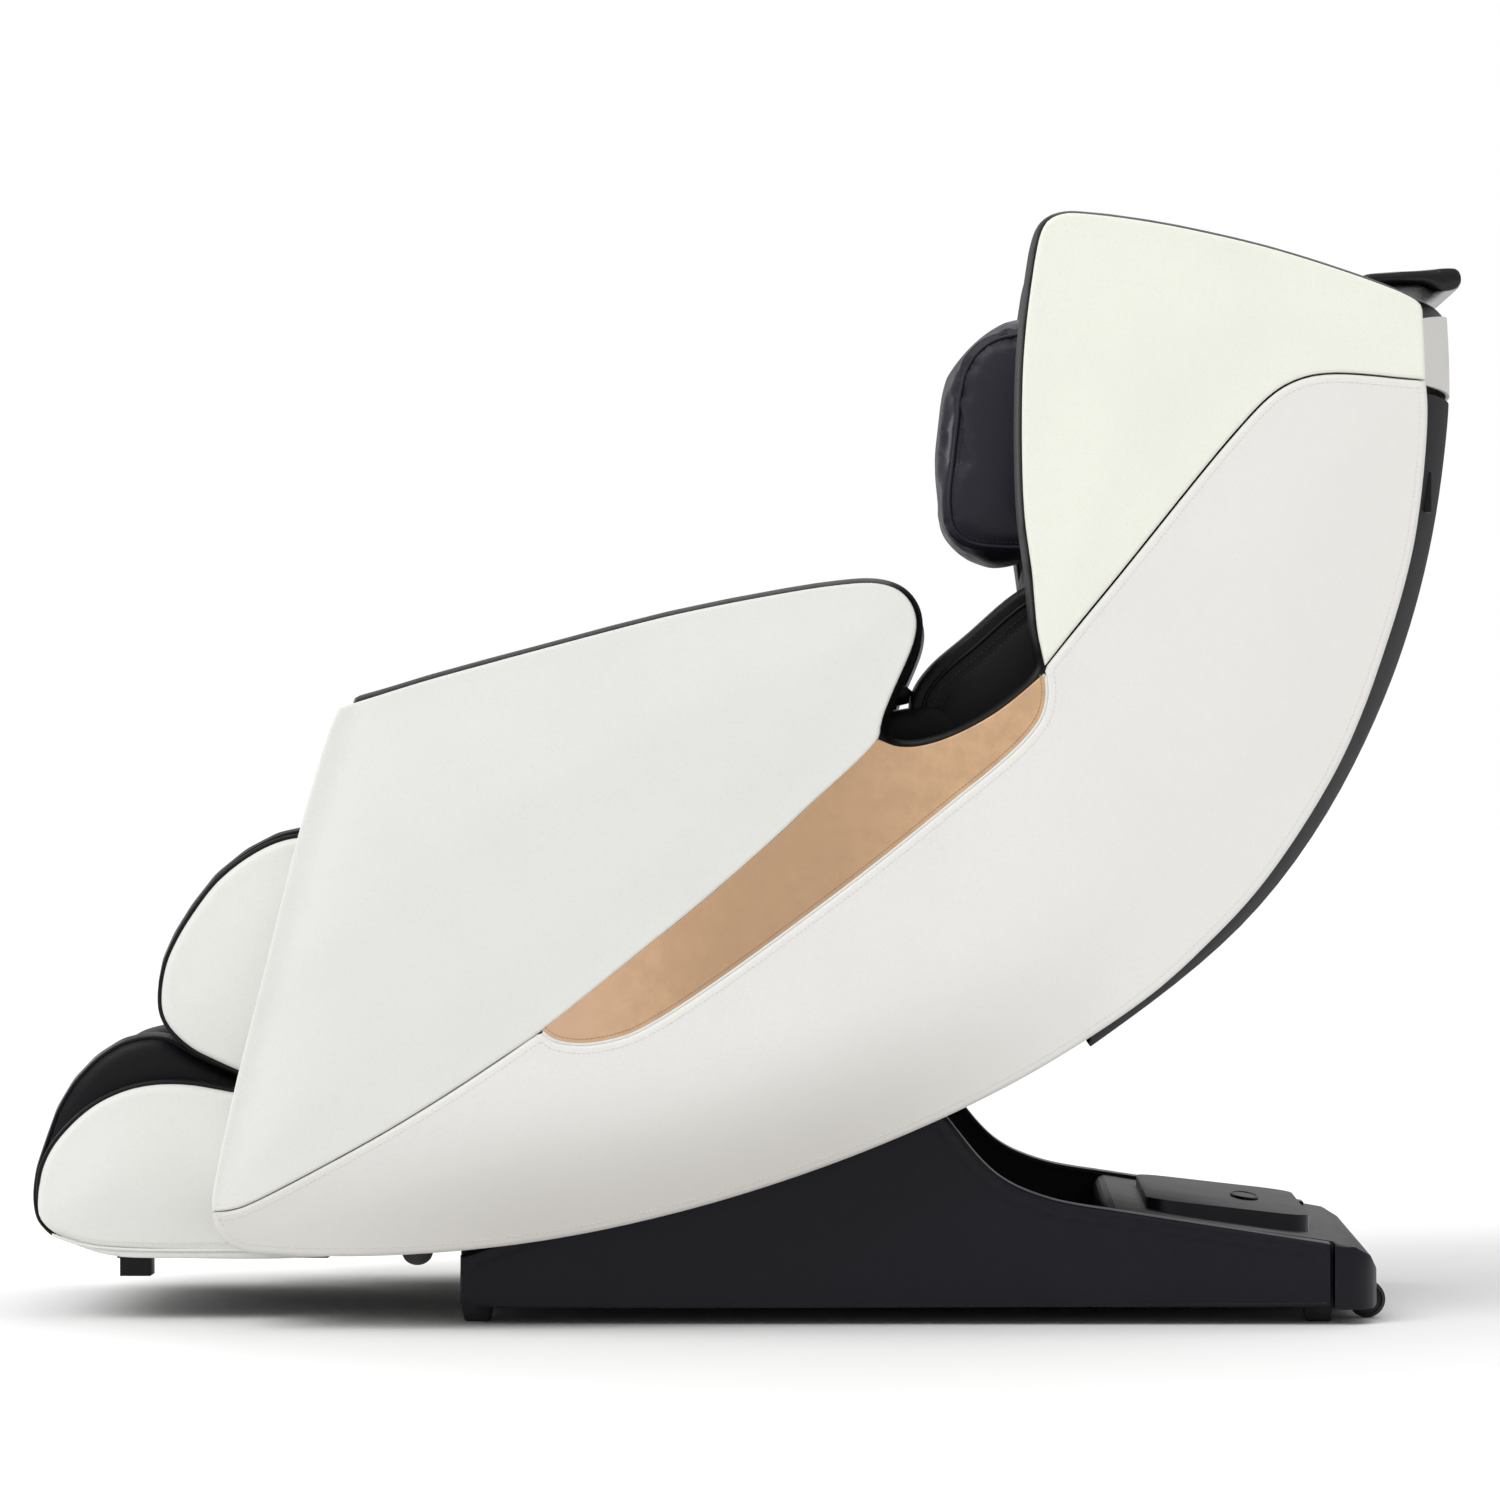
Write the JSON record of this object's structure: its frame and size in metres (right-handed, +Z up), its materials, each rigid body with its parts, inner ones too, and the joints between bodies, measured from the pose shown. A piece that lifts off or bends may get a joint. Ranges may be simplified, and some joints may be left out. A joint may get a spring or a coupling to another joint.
{
  "type": "massage chair",
  "caption": "Full-body massage chair: a rocking upholstered shell with seat, back and arms on a low base, a raising legrest and sliding foot unit.",
  "frame": {"origin": "on the floor, under the middle of the chair's length and width", "axes": "+Z up, -Y the way the sitter faces, +X the sitter's left"},
  "size_m": [0.76, 1.542, 1.1815],
  "materials": {
    "white_leather": "soft matt grain",
    "champagne_leather": "metallic champagne gold, fine grain",
    "black_leather": "soft satin grain",
    "base_plastic": "charcoal, satin",
    "black_plastic": "black, satin",
    "rubber": "matt black",
    "painted_steel": "black powder coat"
  },
  "bodies": {
    "base": {"base_frame": "painted_steel", "base_side_cover_left": "base_plastic", "base_side_cover_right": "base_plastic", "base_rear_cover": "base_plastic", "foot_front_left": "rubber", "foot_front_right": "rubber", "foot_rear_left": "rubber", "foot_rear_right": "rubber", "power_socket": "black_plastic", "power_supply": "painted_steel", "tilt_actuator": "painted_steel"},
    "shell": {"seat_frame": "painted_steel", "tilt_shaft": "painted_steel", "back_frame": "painted_steel", "drive_screw": "painted_steel", "seat_pad": "black_leather", "air_pump": "black_plastic", "legrest_actuator": "painted_steel", "control_pad": "black_plastic", "back_cover": "base_plastic", "head_trim": "white_leather", "head_cap": "black_plastic", "back_pad": "black_leather", "rear_flap": "black_leather", "head_pillow": "black_leather", "arm_panel_left": "white_leather", "arm_panel_right": "white_leather", "accent_panel_left": "champagne_leather", "accent_panel_right": "champagne_leather", "shoulder_panel_left": "white_leather", "shoulder_panel_right": "white_leather", "crescent_panel_left": "white_leather", "crescent_panel_right": "white_leather", "side_lining_left": "black_leather", "side_lining_right": "black_leather", "waist_wing_left": "black_leather", "waist_wing_right": "black_leather"},
    "tilt_rod": {"tilt_actuator_rod": "painted_steel"},
    "legrest_rod": {"legrest_actuator_rod": "painted_steel"},
    "carriage": {"massage_carriage": "painted_steel"},
    "kneading_left": {"kneading_arm_left": "painted_steel"},
    "kneading_right": {"kneading_arm_right": "painted_steel"},
    "roller_upper_left": {"massage_roller_upper_left": "black_plastic"},
    "roller_lower_left": {"massage_roller_lower_left": "black_plastic"},
    "roller_upper_right": {"massage_roller_upper_right": "black_plastic"},
    "roller_lower_right": {"massage_roller_lower_right": "black_plastic"},
    "legrest": {"calf_frame": "painted_steel", "calf_pad": "black_leather", "calf_panel_left": "white_leather", "calf_panel_right": "white_leather"},
    "foot_unit": {"foot_frame": "black_plastic", "foot_pad": "black_leather", "foot_panel_left": "white_leather", "foot_panel_right": "white_leather"},
    "wheel_left": {"transport_wheel_left": "rubber"},
    "wheel_right": {"transport_wheel_right": "rubber"},
    "rocker": {"power_switch": "black_plastic"},
    "key_power": {"button_power": "black_plastic"},
    "key_recline": {"button_recline": "black_plastic"},
    "key_massage": {"button_massage": "black_plastic"}
  },
  "joints": [
    {"name": "body_tilt", "type": "hinge", "parent": "base", "child": "shell", "pos_m": [0, 0.014, 0.33], "axis": [-1, 0, 0], "range_deg": [0, 22]},
    {"name": "tilt_rod_slide", "type": "slide", "parent": "base", "child": "tilt_rod", "axis": [0, -1, 0], "range_m": [0, 0.0505]},
    {"name": "legrest_lift", "type": "hinge", "parent": "shell", "child": "legrest", "pos_m": [0, -0.446, 0.47], "axis": [-1, 0, 0], "range_deg": [0, 75]},
    {"name": "legrest_rod_slide", "type": "slide", "parent": "shell", "child": "legrest_rod", "axis": [0, -1, 0], "range_m": [0, 0.184]},
    {"name": "foot_slide", "type": "slide", "parent": "legrest", "child": "foot_unit", "axis": [0, -0.225, -0.9744], "range_m": [0, 0.08], "stiffness_N_per_m": 1500, "springref_m": -0.12},
    {"name": "carriage_travel", "type": "slide", "parent": "shell", "child": "carriage", "axis": [0, 0.2748, 0.9615], "range_m": [-0.05, 0.3]},
    {"name": "kneading_left", "type": "hinge", "parent": "carriage", "child": "kneading_left", "pos_m": [0.075, 0.38395, 0.61092], "axis": [1, 0, 0], "range_deg": [-5, 5]},
    {"name": "roller_upper_left_spin", "type": "hinge", "parent": "kneading_left", "child": "roller_upper_left", "pos_m": [0.095, 0.37022, 0.67205], "axis": [1, 0, 0], "continuous": true},
    {"name": "roller_lower_left_spin", "type": "hinge", "parent": "kneading_left", "child": "roller_lower_left", "pos_m": [0.095, 0.33999, 0.56628], "axis": [1, 0, 0], "continuous": true},
    {"name": "kneading_right", "type": "hinge", "parent": "carriage", "child": "kneading_right", "pos_m": [-0.075, 0.38395, 0.61092], "axis": [1, 0, 0], "range_deg": [-5, 5]},
    {"name": "roller_upper_right_spin", "type": "hinge", "parent": "kneading_right", "child": "roller_upper_right", "pos_m": [-0.095, 0.37022, 0.67205], "axis": [1, 0, 0], "continuous": true},
    {"name": "roller_lower_right_spin", "type": "hinge", "parent": "kneading_right", "child": "roller_lower_right", "pos_m": [-0.095, 0.33999, 0.56628], "axis": [1, 0, 0], "continuous": true},
    {"name": "wheel_left_spin", "type": "hinge", "parent": "base", "child": "wheel_left", "pos_m": [0.2, 0.666, 0.0202], "axis": [1, 0, 0], "continuous": true},
    {"name": "wheel_right_spin", "type": "hinge", "parent": "base", "child": "wheel_right", "pos_m": [-0.2, 0.666, 0.0202], "axis": [1, 0, 0], "continuous": true},
    {"name": "power_rocker", "type": "hinge", "parent": "base", "child": "rocker", "pos_m": [-0.1015, 0.6635, 0.044], "axis": [1, 0, 0], "range_deg": [0, 11]},
    {"name": "press_power", "type": "slide", "parent": "shell", "child": "key_power", "axis": [0, 0.2588, -0.9659], "range_m": [0, 0.0015], "stiffness_N_per_m": 400, "springref_m": -0.0015},
    {"name": "press_recline", "type": "slide", "parent": "shell", "child": "key_recline", "axis": [0, 0.2588, -0.9659], "range_m": [0, 0.0015], "stiffness_N_per_m": 400, "springref_m": -0.0015},
    {"name": "press_massage", "type": "slide", "parent": "shell", "child": "key_massage", "axis": [0, 0.2588, -0.9659], "range_m": [0, 0.0015], "stiffness_N_per_m": 400, "springref_m": -0.0015}
  ],
  "couplings": [
    {"joint": "tilt_rod_slide", "follows": "body_tilt", "m_per_rad": 0.1292},
    {"joint": "legrest_rod_slide", "follows": "legrest_lift", "m_per_rad": 0.13952},
    {"joint": "kneading_right", "follows": "kneading_left", "ratio": -1}
  ]
}
